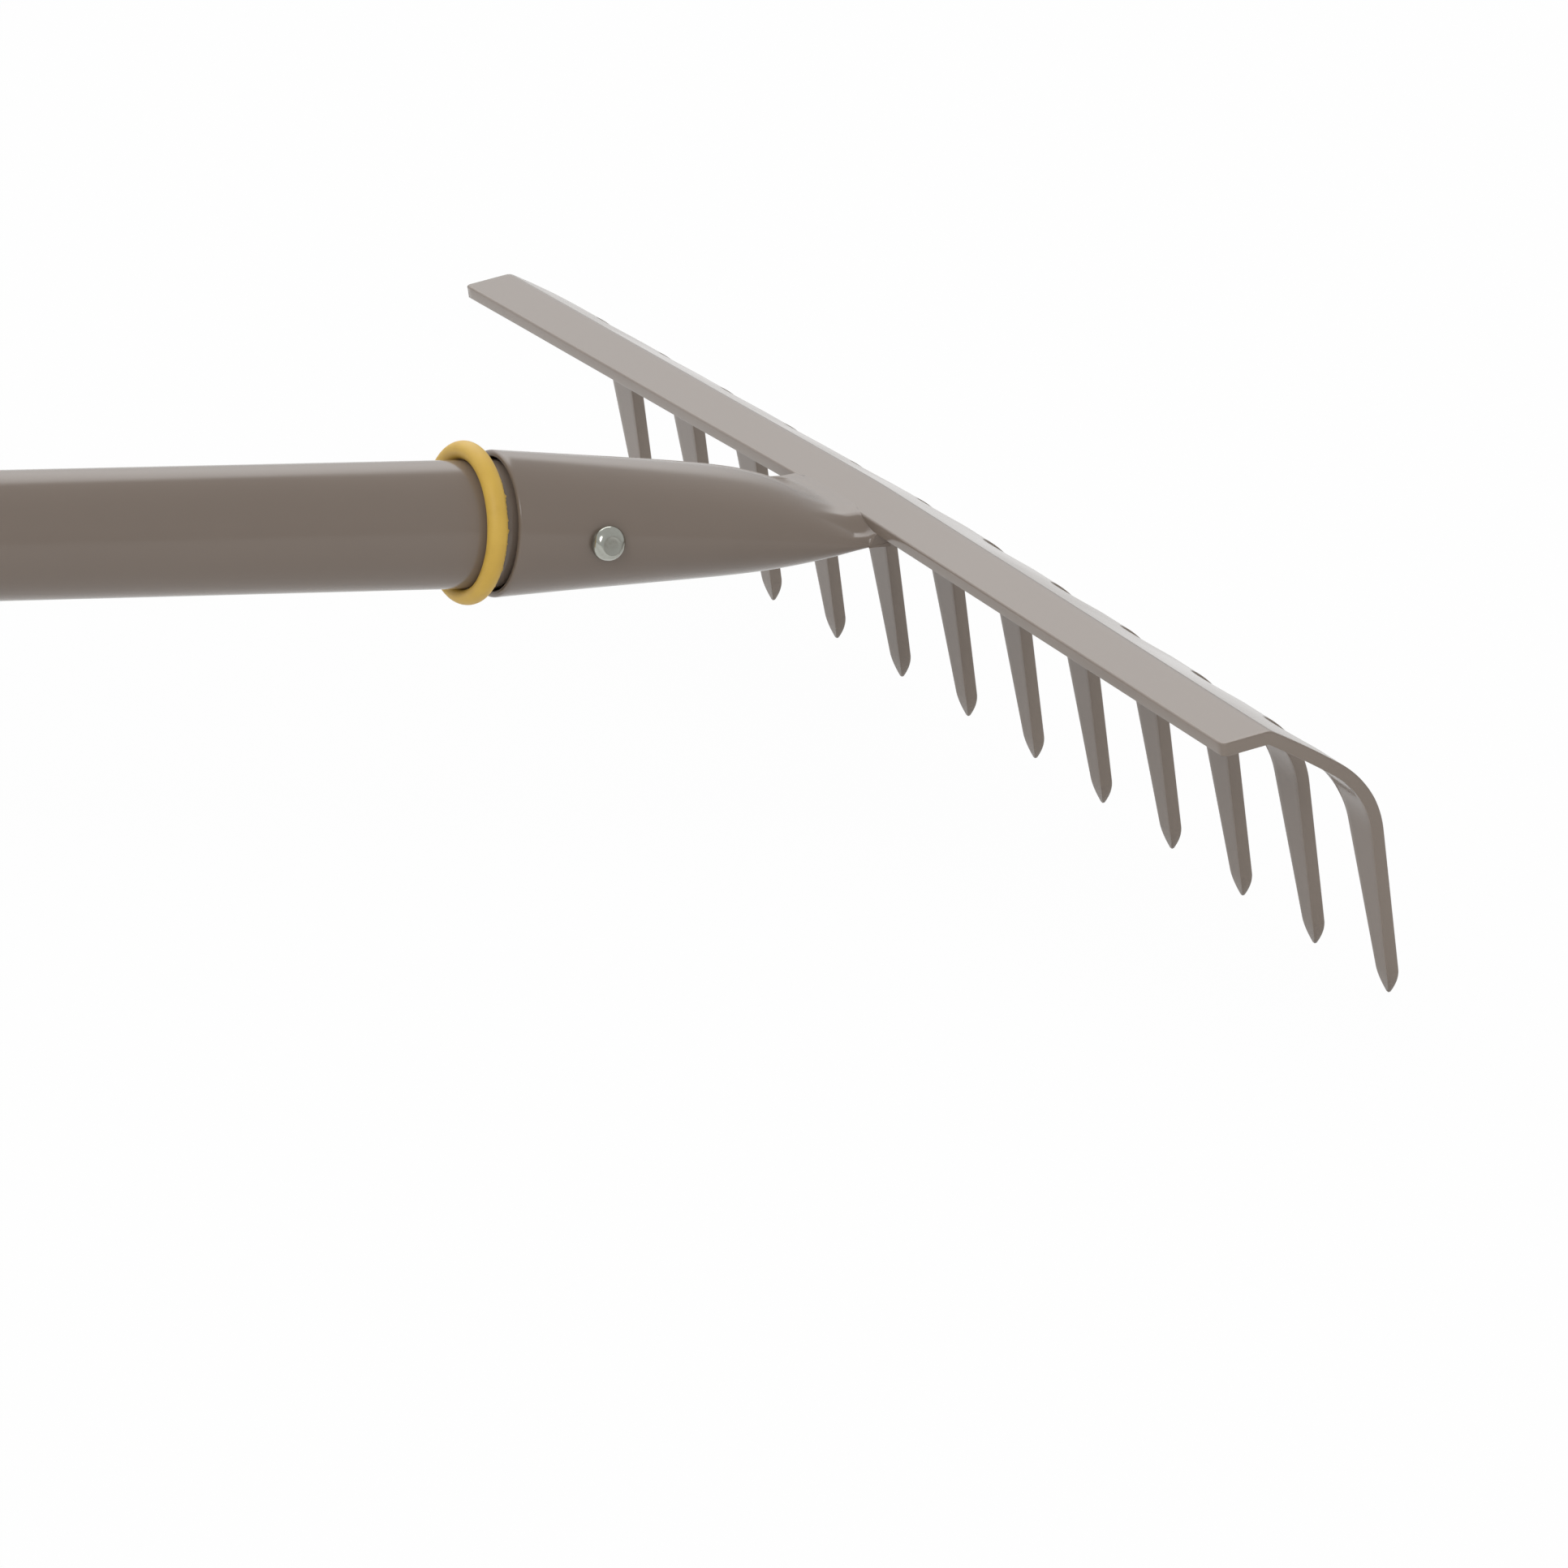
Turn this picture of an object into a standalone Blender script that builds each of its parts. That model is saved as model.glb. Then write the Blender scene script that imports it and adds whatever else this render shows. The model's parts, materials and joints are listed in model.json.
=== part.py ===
# Soil rake: a stamped twelve-tine head welded to a flattened tube socket, riveted to a steel tube handle.
# Units are metres. The handle's axis is the X axis of the empty "rake_frame", with the socket's mouth at x = 0,
# the head at +X, its width along Y and its tines pointing down.

import math

import bmesh
import bpy

mm = 0.001

# Handle tube
HANDLE_DIAMETER = 25.0 * mm
HANDLE_WALL = 1.2 * mm
HANDLE_LENGTH = 1380.0 * mm   # from the socket's mouth to the open end of the tube
NECK_DIAMETER = 21.0 * mm     # the end inside the socket is swaged down, because the socket tapers
NECK_START = 0.6 * mm
NECK_TAPER = 5.0 * mm
NECK_END = 27.0 * mm

# Socket: a round tube that is pressed flat towards the head
SOCKET_CLEARANCE = 0.5 * mm   # radial, between the handle tube and the socket's mouth
SOCKET_WALL = 1.4 * mm
SOCKET_LENGTH = 79.0 * mm
SOCKET_FLAT_LENGTH = 7.2 * mm # the last stretch, pressed fully flat
SOCKET_END_HEIGHT = 3.3 * mm  # outside height of the flattened end
SOCKET_CONE_SHARE = 0.455     # share of the flattening that grows evenly from the mouth
SOCKET_PRESS_POWER = 8.5      # how late the rest of it sets in
SOCKET_SAG = 0.7 * mm         # the flattened end lies this far under the handle's axis
SOCKET_END_LIFT = 1.85 * mm   # and its last stretch rises again under the flange

# Rivet through socket and handle
RIVET_X = 18.0 * mm
RIVET_DIAMETER = 4.0 * mm
RIVET_HOLE_CLEARANCE = 0.3 * mm
RIVET_HEAD_DIAMETER = 7.0 * mm
RIVET_HEAD_HEIGHT = 2.3 * mm
RIVET_FLAT_DIAMETER = 3.2 * mm
RIVET_SEAT_GAP = 0.3 * mm

# Head: one sheet, described by its folded outline in side view and by its flat blank
TINE_COUNT = 12
HEAD_WIDTH = 350.0 * mm       # over the outer sides of the first and the last tine
END_OVERRUN = 2.3 * mm        # the sheet's +Y end runs on this far past the last tine
SHEET_THICKNESS = 2.55 * mm
SOCKET_OVERLAP = 7.0 * mm     # how far the socket's flat end reaches under the flange
FLANGE_EDGE_Z = 4.7 * mm      # outer corner of the flange's lower edge, above the handle's axis
FLANGE_LENGTH = 9.2 * mm
FLANGE_ANGLE = 13.6           # degrees, all angles are from the handle's axis
RIDGE_RADIUS = 3.0 * mm
PLATE_START_ANGLE = -21.5
PLATE_LENGTH = 16.0 * mm
PLATE_END_ANGLE = -26.6
BEND_RADIUS = 20.9 * mm
TINE_ANGLE = -74.6
TINE_LENGTH = 34.1 * mm       # straight stretch below the bend, with the point
TINE_ROOT_WIDTH = 11.4 * mm
TINE_TAPER_DELAY = 10.7 * mm  # the taper starts this far into the bend
TINE_END_WIDTH = 4.8 * mm
POINT_LENGTH = 5.0 * mm
POINT_WIDTH = 0.7 * mm
POINT_POWER = 1.75            # how roundly the width and the inner side run in to the point
POINT_OUTER_CUT = 1.43 * mm   # what the point takes off the sheet's outer side
POINT_OUTER_POWER = 2.15
POINT_INNER_CUT = 0.59 * mm   # and off its inner side
WEB_DEPTH = 11.3 * mm         # from the ridge to the arch between two tines
ARCH_DEPTH = 7.0 * mm
HEAD_SWEEP = 0.0041           # the head is bent a little at its middle: back towards the ends
HEAD_DROOP = 0.0122           # and down towards the ends, both per unit of width
HEAD_BEND_ROUNDING = 6.0 * mm

# Weld beads
WELD_GAP = 0.3 * mm
WELD_HALF_WIDTH = 21.0 * mm
WELD_REACH = 7.0 * mm
WELD_END_REACH = 3.0 * mm
WELD_TOE = 0.2 * mm
UNDER_WELD_HALF_WIDTH = 16.0 * mm
UNDER_WELD_REACH = 3.0 * mm

# Rubber ring, free to be pushed along the handle
RING_CLEARANCE = 0.3 * mm
RING_WIDTH = 4.1 * mm         # along the handle
RING_DEPTH = 3.2 * mm         # outwards from the handle
RING_LIFT = 0.3 * mm          # this much thicker at the top and thinner at the bottom
RING_X = -5.2 * mm

# End cap with its hanging hole
CAP_PLUG_CLEARANCE = 0.3 * mm
CAP_PLUG_LENGTH = 28.0 * mm
CAP_COLLAR_OVERHANG = 1.1 * mm
CAP_SEAT_GAP = 0.3 * mm
CAP_COLLAR_LENGTH = 34.0 * mm
CAP_EDGE_RADIUS = 6.0 * mm
HANG_HOLE_DIAMETER = 10.0 * mm
HANG_HOLE_INSET = 15.0 * mm   # from the cap's butt end to the hole's axis

ROUND_SEGMENTS = 24
RING_SEGMENTS = 32
RING_SECTION_SEGMENTS = 10

handle_radius = HANDLE_DIAMETER / 2
handle_bore = handle_radius - HANDLE_WALL
neck_radius = NECK_DIAMETER / 2
socket_radius = handle_radius + SOCKET_CLEARANCE + SOCKET_WALL
cap_radius = handle_radius + CAP_COLLAR_OVERHANG
socket_flat_start = SOCKET_LENGTH - SOCKET_FLAT_LENGTH
flange_edge_x = SOCKET_LENGTH - SOCKET_OVERLAP


# The head's outline in side view, as stretches of length, start angle and end angle.
def arc_length(radius, start, end):
    return radius * math.radians(abs(end - start))


head_stretches = [
    (FLANGE_LENGTH, FLANGE_ANGLE, FLANGE_ANGLE),
    (arc_length(RIDGE_RADIUS, FLANGE_ANGLE, PLATE_START_ANGLE), FLANGE_ANGLE, PLATE_START_ANGLE),
    (PLATE_LENGTH, PLATE_START_ANGLE, PLATE_END_ANGLE),
    (arc_length(BEND_RADIUS, PLATE_END_ANGLE, TINE_ANGLE), PLATE_END_ANGLE, TINE_ANGLE),
    (TINE_LENGTH, TINE_ANGLE, TINE_ANGLE),
]
ridge_start = head_stretches[0][0]
plate_start = ridge_start + head_stretches[1][0]
bend_start = plate_start + head_stretches[2][0]
tine_start = bend_start + head_stretches[3][0]
tip_at = tine_start + head_stretches[4][0]
point_start = tip_at - POINT_LENGTH
taper_start = bend_start + TINE_TAPER_DELAY
web_edge = plate_start + WEB_DEPTH
shoulder = web_edge + ARCH_DEPTH
pitch = (HEAD_WIDTH - TINE_ROOT_WIDTH) / (TINE_COUNT - 1)


def outline(distance):
    """Point and direction on the head's outer side, at this distance from the flange's lower edge."""
    x = flange_edge_x
    z = FLANGE_EDGE_Z
    for length, start, end in head_stretches:
        step = min(distance, length)
        turned = math.radians(end - start) * step / length
        first = math.radians(start)
        chord = step
        if turned:
            chord = 2 * step / turned * math.sin(turned / 2)
        x += chord * math.cos(first + turned / 2)
        z += chord * math.sin(first + turned / 2)
        distance -= step
        if distance <= 0:
            break
    return x, z, first + turned


def head_point(distance, y, depth=0.0):
    """Point of the folded head, depth being how far it lies under the outer side."""
    x, z, direction = outline(distance)
    x += depth * math.sin(direction)
    z -= depth * math.cos(direction)
    off_middle = math.hypot(y, HEAD_BEND_ROUNDING) - HEAD_BEND_ROUNDING
    return x - HEAD_SWEEP * off_middle, y, z - HEAD_DROOP * off_middle


def tine_half_width(distance):
    if distance <= taper_start:
        return TINE_ROOT_WIDTH / 2
    if distance <= point_start:
        share = (distance - taper_start) / (point_start - taper_start)
        return (TINE_ROOT_WIDTH + (TINE_END_WIDTH - TINE_ROOT_WIDTH) * share) / 2
    share = (distance - point_start) / POINT_LENGTH
    return (TINE_END_WIDTH - (TINE_END_WIDTH - POINT_WIDTH) * share ** POINT_POWER) / 2


def end_overrun(distance):
    share = (shoulder - distance) / ARCH_DEPTH
    return END_OVERRUN * min(max(share, 0.0), 1.0)


def outer_depth(distance):
    share = max(0.0, (distance - point_start) / POINT_LENGTH)
    return POINT_OUTER_CUT * share ** POINT_OUTER_POWER


def inner_depth(distance):
    share = max(0.0, (distance - point_start) / POINT_LENGTH)
    return SHEET_THICKNESS - POINT_INNER_CUT * share ** POINT_POWER


# The socket's section is an ellipse that keeps the tube's girth while it is pressed flat.
girth_exponent = math.log(2) / math.log(math.pi / 2)


def socket_section(x):
    """Half width, half height and height of the centre of the socket's outside at x."""
    share = min(max(x, 0.0) / socket_flat_start, 1.0)
    pressed = SOCKET_CONE_SHARE * share + (1 - SOCKET_CONE_SHARE) * share ** SOCKET_PRESS_POWER
    height = socket_radius - (socket_radius - SOCKET_END_HEIGHT / 2) * pressed
    flat_width = math.pi * socket_radius / 2
    width = (flat_width ** girth_exponent - height ** girth_exponent) ** (1 / girth_exponent)
    lift_from = socket_flat_start - SOCKET_FLAT_LENGTH
    rising = min(max((x - lift_from) / (SOCKET_LENGTH - lift_from), 0.0), 1.0)
    centre = -SOCKET_SAG * share ** 3 + SOCKET_END_LIFT * rising ** 2
    return width, height, centre


def socket_top(x, y):
    width, height, centre = socket_section(x)
    return centre + height * math.sqrt(max(0.0, 1 - (y / width) ** 2))


# How the rake lies on level ground: on its tine tips and on the cap's rim.
tip_x, _, tip_z = head_point(tip_at, HEAD_WIDTH / 2 - TINE_ROOT_WIDTH / 2, inner_depth(tip_at))
rest_x = -(HANDLE_LENGTH + CAP_SEAT_GAP + CAP_COLLAR_LENGTH - CAP_EDGE_RADIUS)
tilt = math.atan2(-cap_radius - tip_z, tip_x - rest_x)
butt_x = -(HANDLE_LENGTH + CAP_SEAT_GAP + CAP_COLLAR_LENGTH)
lift = -(tip_x * math.sin(tilt) + tip_z * math.cos(tilt))
reach_back = butt_x * math.cos(tilt)
point_steps = 3
reach_front = reach_back
for step in range(point_steps + 1):
    at = point_start + POINT_LENGTH * step / point_steps
    front_x, _, front_z = head_point(at, pitch / 2 - tine_half_width(at), outer_depth(at))
    reach_front = max(reach_front, front_x * math.cos(tilt) - front_z * math.sin(tilt))
shift = -(reach_back + reach_front) / 2
side_shift = -END_OVERRUN / 2


def clear_scene():
    for item in list(bpy.data.objects):
        bpy.data.objects.remove(item, do_unlink=True)


def make_material(name, colour, roughness, metallic):
    material = bpy.data.materials.new(name)
    material.use_nodes = True
    shader = material.node_tree.nodes["Principled BSDF"]
    shader.inputs["Base Color"].default_value = (*colour, 1.0)
    shader.inputs["Roughness"].default_value = roughness
    shader.inputs["Metallic"].default_value = metallic
    material.diffuse_color = (*colour, 1.0)
    return material


def add_object(name, mesh, material, parent, location=(0.0, 0.0, 0.0)):
    mesh.materials.append(material)
    item = bpy.data.objects.new(name, mesh)
    item.parent = parent
    item.location = location
    bpy.context.scene.collection.objects.link(item)
    return item


def mesh_from(name, points, faces, smooth_angle=30.0):
    mesh = bpy.data.meshes.new(name)
    mesh.from_pydata(points, [], faces)
    work = bmesh.new()
    work.from_mesh(mesh)
    bmesh.ops.recalc_face_normals(work, faces=work.faces)
    work.to_mesh(mesh)
    work.free()
    mesh.shade_smooth()
    mesh.set_sharp_from_angle(angle=math.radians(smooth_angle))
    return mesh


def skin_sections(sections, closed=False):
    """Points and faces of a solid through rings of equal length, capped unless the last ring joins the first."""
    count = len(sections[0])
    points = [point for section in sections for point in section]
    faces = []
    spans = len(sections) if closed else len(sections) - 1
    for row in range(spans):
        here = row * count
        there = (row + 1) % len(sections) * count
        for column in range(count):
            beside = (column + 1) % count
            faces.append((here + column, here + beside, there + beside, there + column))
    if not closed:
        faces.append(tuple(range(count)))
        faces.append(tuple(range((len(sections) - 1) * count, len(sections) * count)))
    return points, faces


def circle_at(x, radius, segments=ROUND_SEGMENTS):
    ring = []
    for number in range(segments):
        turn = 2 * math.pi * number / segments
        ring.append((x, radius * math.cos(turn), radius * math.sin(turn)))
    return ring


def ellipse_at(x, width, height, centre):
    ring = []
    for number in range(ROUND_SEGMENTS):
        turn = 2 * math.pi * number / ROUND_SEGMENTS
        ring.append((x, width * math.cos(turn), centre + height * math.sin(turn)))
    return ring


def make_cutter(name, radius, length, location, parent):
    """A round bar along Y that drills a hole."""
    sections = []
    for y in (-length / 2, length / 2):
        sections.append([(px, y, pz) for _, px, pz in circle_at(0.0, radius, 16)])
    cutter = add_object(name, mesh_from(name, *skin_sections(sections)), steel_bright, parent, location)
    cutter.hide_render = True
    cutter.display_type = "WIRE"
    return cutter


def drill(item, cutter):
    cut = item.modifiers.new("hole", "BOOLEAN")
    cut.operation = "DIFFERENCE"
    cut.solver = "EXACT"
    cut.object = cutter


def make_head(parent):
    places = {}
    blank = []
    cells = []

    def corner(distance, y):
        key = (round(distance, 7), round(y, 7))
        if key not in places:
            places[key] = len(blank)
            blank.append(key)
        return places[key]

    def fill(rows):
        for upper, lower in zip(rows, rows[1:]):
            for column in range(len(upper) - 1):
                quad = (upper[column], upper[column + 1], lower[column + 1], lower[column])
                cells.append(tuple(corner(*point) for point in quad))

    def spread(start, end, steps):
        return [start + (end - start) * step / steps for step in range(steps + 1)]

    strip_end = (plate_start + web_edge) / 2
    strip_rows = [0.0] + spread(ridge_start, plate_start, 2) + [strip_end]
    neck_steps = 2
    tine_rows = spread(shoulder, tine_start, 4) + [point_start]
    tine_rows += spread(point_start, tip_at, point_steps)[1:]
    arch_steps = 6
    for number in range(TINE_COUNT):
        middle = (number - (TINE_COUNT - 1) / 2) * pitch
        rows = strip_rows + spread(strip_end, shoulder, neck_steps)[1:] + tine_rows[1:]
        last = number == TINE_COUNT - 1
        sides = []
        for s in rows:
            half = tine_half_width(s)
            overrun = end_overrun(s) if last else 0.0
            sides.append([(s, middle - half), (s, middle + half + overrun)])
        fill(sides)
        if last:
            break
        gap_middle = middle + pitch / 2
        half_gap = pitch / 2 - tine_half_width(shoulder)
        half_strip = pitch / 2 - TINE_ROOT_WIDTH / 2
        turns = spread(math.pi, 0.0, arch_steps)
        across = [gap_middle + half_strip * math.cos(turn) for turn in turns]
        fill([[(s, y) for y in across] for s in strip_rows])
        rows = []
        for step in range(neck_steps + 1):
            share = step / neck_steps
            row = []
            for turn, y in zip(turns, across):
                arch_s = shoulder - ARCH_DEPTH * math.sin(turn)
                arch_y = gap_middle + half_gap * math.cos(turn)
                row.append((strip_end + (arch_s - strip_end) * share, y + (arch_y - y) * share))
            # The two side rows are the tines' own edges.
            side = row[0][0]
            row[0] = (side, gap_middle - pitch / 2 + tine_half_width(side))
            row[-1] = (side, gap_middle + pitch / 2 - tine_half_width(side))
            rows.append(row)
        fill(rows)

    count = len(blank)
    points = [head_point(s, y, outer_depth(s)) for s, y in blank]
    points += [head_point(s, y, inner_depth(s)) for s, y in blank]
    faces = list(cells) + [tuple(number + count for number in reversed(cell)) for cell in cells]
    used = set()
    for cell in cells:
        for here, there in zip(cell, cell[1:] + cell[:1]):
            used.add((here, there))
    for here, there in sorted(used):
        if (there, here) not in used:
            faces.append((there, here, here + count, there + count))
    return add_object("tine_bar", mesh_from("tine_bar", points, faces), paint, parent)


def make_socket(parent):
    stations = [socket_flat_start * share for share in (0.0, 0.25, 0.45, 0.6, 0.72, 0.82, 0.9, 0.96, 1.0)]
    stations.append(SOCKET_LENGTH)
    outer = []
    inner = []
    for x in stations:
        width, height, centre = socket_section(x)
        outer.append(ellipse_at(x, width, height, centre))
        inner.append(ellipse_at(x, width - SOCKET_WALL, height - SOCKET_WALL, centre))
    points, faces = skin_sections(outer + inner[::-1], closed=True)
    return add_object("socket", mesh_from("socket", points, faces), paint, parent)


def make_handle(parent):
    length = HANDLE_LENGTH
    outside = [(-length, handle_radius), (NECK_START, handle_radius), (NECK_START + NECK_TAPER, neck_radius),
               (NECK_END, neck_radius)]
    outer = [circle_at(x, radius) for x, radius in outside]
    inner = [circle_at(x, radius - HANDLE_WALL) for x, radius in outside]
    points, faces = skin_sections(outer + inner[::-1], closed=True)
    return add_object("handle_tube", mesh_from("handle_tube", points, faces), paint, parent)


def make_rivet(parent):
    shank = RIVET_DIAMETER / 2
    head = RIVET_HEAD_DIAMETER / 2
    flat = RIVET_FLAT_DIAMETER / 2
    seat = socket_section(RIVET_X)[0] + RIVET_SEAT_GAP
    side = [(seat, shank), (seat, head)]
    for step in range(1, 4):
        turn = math.pi / 2 * step / 3
        side.append((seat + RIVET_HEAD_HEIGHT * math.sin(turn), flat + (head - flat) * math.cos(turn)))
    turned = [(-y, radius) for y, radius in reversed(side)] + side
    sections = []
    for y, radius in turned:
        sections.append([(px, y, pz) for _, px, pz in circle_at(0.0, radius, 16)])
    mesh = mesh_from("rivet", *skin_sections(sections))
    return add_object("rivet", mesh, steel_bright, parent, (RIVET_X, 0.0, 0.0))


def make_weld(parent):
    """Bead in the valley between the socket's back and the flange's lower edge."""
    steps = 12
    sections = []
    for step in range(steps + 1):
        y = WELD_HALF_WIDTH * (2 * step / steps - 1)
        top_x, _, top_z = head_point(0.0, y)
        low_x, _, low_z = head_point(0.0, y, SHEET_THICKNESS)
        reach = WELD_REACH + (WELD_END_REACH - WELD_REACH) * abs(y) / WELD_HALF_WIDTH
        toe_x = top_x - reach
        toe_z = socket_top(toe_x, y) + WELD_GAP
        half_x = top_x - reach / 2
        sections.append([
            (top_x - WELD_GAP, y, top_z - WELD_TOE),
            (toe_x, y, toe_z + WELD_TOE),
            (toe_x, y, toe_z),
            (half_x, y, socket_top(half_x, y) + WELD_GAP),
            (low_x - WELD_GAP, y, socket_top(low_x - WELD_GAP, y) + WELD_GAP),
            (low_x - WELD_GAP, y, low_z),
        ])
    return add_object("weld_bead", mesh_from("weld_bead", *skin_sections(sections)), paint, parent)


def make_under_weld(parent):
    """Bead between the socket's flat end and the head's underside, hidden under the ridge."""
    steps = 8
    end_x = SOCKET_LENGTH + WELD_GAP
    width, height, centre = socket_section(SOCKET_LENGTH)
    sections = []
    for step in range(steps + 1):
        y = UNDER_WELD_HALF_WIDTH * (2 * step / steps - 1)
        fold_x, _, fold_z = head_point((ridge_start + plate_start) / 2, y, SHEET_THICKNESS + WELD_GAP)
        far_x, _, far_z = head_point(plate_start + UNDER_WELD_REACH, y, SHEET_THICKNESS + WELD_GAP)
        rise = (fold_x - end_x) * math.tan(math.radians(FLANGE_ANGLE))
        sections.append([
            (end_x, y, centre - height / 2),
            (end_x, y, fold_z - rise),
            (fold_x, y, fold_z),
            (far_x, y, far_z),
        ])
    return add_object("weld_bead_under", mesh_from("weld_bead_under", *skin_sections(sections)), paint, parent)


def make_ring(parent):
    rings = []
    for step in range(RING_SEGMENTS):
        turn = 2 * math.pi * step / RING_SEGMENTS
        depth = RING_DEPTH + RING_LIFT * math.sin(turn)
        centre = handle_radius + RING_CLEARANCE + depth / 2
        ring = []
        for number in range(RING_SECTION_SEGMENTS):
            around = 2 * math.pi * number / RING_SECTION_SEGMENTS
            radius = centre + depth / 2 * math.cos(around)
            ring.append((RING_WIDTH / 2 * math.sin(around), radius * math.cos(turn), radius * math.sin(turn)))
        rings.append(ring)
    mesh = mesh_from("rubber_ring", *skin_sections(rings, closed=True))
    return add_object("rubber_ring", mesh, rubber, parent, (RING_X, 0.0, 0.0))


def make_cap(parent):
    """Plastic plug with a collar, its rounded butt end crossed by the hanging hole."""
    plug = handle_bore - CAP_PLUG_CLEARANCE
    collar_x = -(HANDLE_LENGTH + CAP_SEAT_GAP)
    outside = [(CAP_PLUG_LENGTH - HANDLE_LENGTH, plug), (collar_x, plug), (collar_x, cap_radius)]
    for step in range(5):
        turn = math.pi / 2 * step / 4
        outside.append((butt_x + CAP_EDGE_RADIUS * (1 - math.sin(turn)),
                        cap_radius - CAP_EDGE_RADIUS * (1 - math.cos(turn))))
    cap = add_object("end_cap", mesh_from("end_cap", *skin_sections([circle_at(x, r) for x, r in outside])),
                     plastic, parent)
    hole_x = butt_x + HANG_HOLE_INSET
    cutter = make_cutter("hang_hole_cutter", HANG_HOLE_DIAMETER / 2, 4 * cap_radius, (hole_x, 0.0, 0.0), parent)
    drill(cap, cutter)
    return cap


clear_scene()
paint = make_material("taupe_paint", (0.205, 0.172, 0.142), 0.38, 0.0)
steel_bright = make_material("zinc_steel", (0.55, 0.56, 0.52), 0.35, 1.0)
rubber = make_material("yellow_rubber", (0.60, 0.42, 0.07), 0.5, 0.0)
plastic = make_material("black_plastic", (0.03, 0.03, 0.03), 0.45, 0.0)

rake_frame = bpy.data.objects.new("rake_frame", None)
bpy.context.scene.collection.objects.link(rake_frame)
rake_frame.location = (shift, side_shift, lift)
rake_frame.rotation_euler = (0.0, -tilt, 0.0)

make_head(rake_frame)
socket = make_socket(rake_frame)
handle = make_handle(rake_frame)
rivet_hole = make_cutter("rivet_hole_cutter", RIVET_DIAMETER / 2 + RIVET_HOLE_CLEARANCE, 4 * socket_radius,
                         (RIVET_X, 0.0, 0.0), rake_frame)
drill(socket, rivet_hole)
drill(handle, rivet_hole)
make_rivet(rake_frame)
make_weld(rake_frame)
make_under_weld(rake_frame)
make_ring(rake_frame)
make_cap(rake_frame)
bpy.context.view_layer.update()
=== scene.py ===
import json
import math

import bmesh
import bpy
from mathutils import Matrix, Vector
from mathutils.noise import noise as softNoise


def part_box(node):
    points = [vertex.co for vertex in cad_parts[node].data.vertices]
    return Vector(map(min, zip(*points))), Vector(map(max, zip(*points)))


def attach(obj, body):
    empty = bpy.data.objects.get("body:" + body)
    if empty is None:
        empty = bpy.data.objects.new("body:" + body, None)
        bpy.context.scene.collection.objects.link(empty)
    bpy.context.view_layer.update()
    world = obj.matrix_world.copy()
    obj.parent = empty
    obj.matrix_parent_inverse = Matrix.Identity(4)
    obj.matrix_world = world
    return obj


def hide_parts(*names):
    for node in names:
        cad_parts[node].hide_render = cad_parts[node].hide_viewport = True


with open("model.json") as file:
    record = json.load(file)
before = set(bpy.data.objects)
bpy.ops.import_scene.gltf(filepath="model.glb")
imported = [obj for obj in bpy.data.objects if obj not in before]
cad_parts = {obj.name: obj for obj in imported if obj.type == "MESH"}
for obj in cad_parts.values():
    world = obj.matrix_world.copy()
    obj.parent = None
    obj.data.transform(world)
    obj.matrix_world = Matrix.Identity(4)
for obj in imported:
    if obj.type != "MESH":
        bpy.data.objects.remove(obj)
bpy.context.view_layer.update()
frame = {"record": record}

mm = 0.001

# All lengths below are millimetres, in the rake's own directions: x along the handle towards the head, with the
# socket's mouth at 0, y across the head and z away from the tines. rakePlace turns them into frame metres.
slide = frame["record"]["behaviour"]["joints"][0]["axis"]
along = -Vector(slide).normalized()
across = Vector((0.0, 1.0, 0.0))
upward = along.cross(across)
ringX = -5.2     # where the rubber ring lies at rest
ringLift = 0.3   # and how much higher its outer circle lies than the handle's axis
ringLow, ringHigh = (Vector(corner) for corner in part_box("rubber_ring"))
mouthCentre = (ringLow + ringHigh) / 2 - (along * ringX + upward * ringLift) * mm
rakePlace = Matrix((along, across, upward)).transposed().to_4x4()
rakePlace.translation = mouthCentre

# The look of a colour and the helpers for nodes and meshes


def linear(hexColour):
    channels = [int(hexColour[start:start + 2], 16) / 255 for start in (0, 2, 4)]
    return tuple(c / 12.92 if c <= 0.04045 else ((c + 0.055) / 1.055) ** 2.4 for c in channels) + (1.0,)


def addNode(tree, kind, inputs=None, **settings):
    node = tree.nodes.new(kind)
    for name, value in settings.items():
        setattr(node, name, value)
    for name, value in (inputs or {}).items():
        if isinstance(value, bpy.types.NodeSocket):
            tree.links.new(value, node.inputs[name])
        else:
            node.inputs[name].default_value = value
    return node


def addNoise(tree, place, size, detail):
    noise = addNode(tree, "ShaderNodeTexNoise", {"Vector": place, "Scale": 1 / (size * mm), "Detail": detail})
    return noise.outputs["Fac"]


def blendColours(tree, share, first, second):
    return addNode(tree, "ShaderNodeMix", {0: share, 6: first, 7: second}, data_type="RGBA").outputs[2]


def calculate(tree, operation, first, second):
    return addNode(tree, "ShaderNodeMath", {0: first, 1: second}, operation=operation).outputs[0]


def addBump(tree, height, depth):
    return addNode(tree, "ShaderNodeBump", {"Height": height, "Strength": 1.0, "Distance": depth * mm})


def addSheen(tree, pattern, roughness):
    # the noise lies between these two values nearly everywhere
    return addNode(tree, "ShaderNodeMapRange", {"Value": pattern, "From Min": 0.3, "From Max": 0.7,
                                                "To Min": roughness[0], "To Max": roughness[1]}).outputs[0]


def addSpecks(tree, place, spacing, radius, keptShare):
    # one possible speck in each cell, kept in a share of the cells only
    cells = addNode(tree, "ShaderNodeTexVoronoi", {"Vector": place, "Scale": 1 / (spacing * mm)})
    near = calculate(tree, "LESS_THAN", cells.outputs["Distance"], radius / spacing)
    chance = addNode(tree, "ShaderNodeSeparateColor", {"Color": cells.outputs["Color"]}).outputs["Red"]
    return calculate(tree, "MULTIPLY", near, calculate(tree, "LESS_THAN", chance, keptShare))


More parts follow.
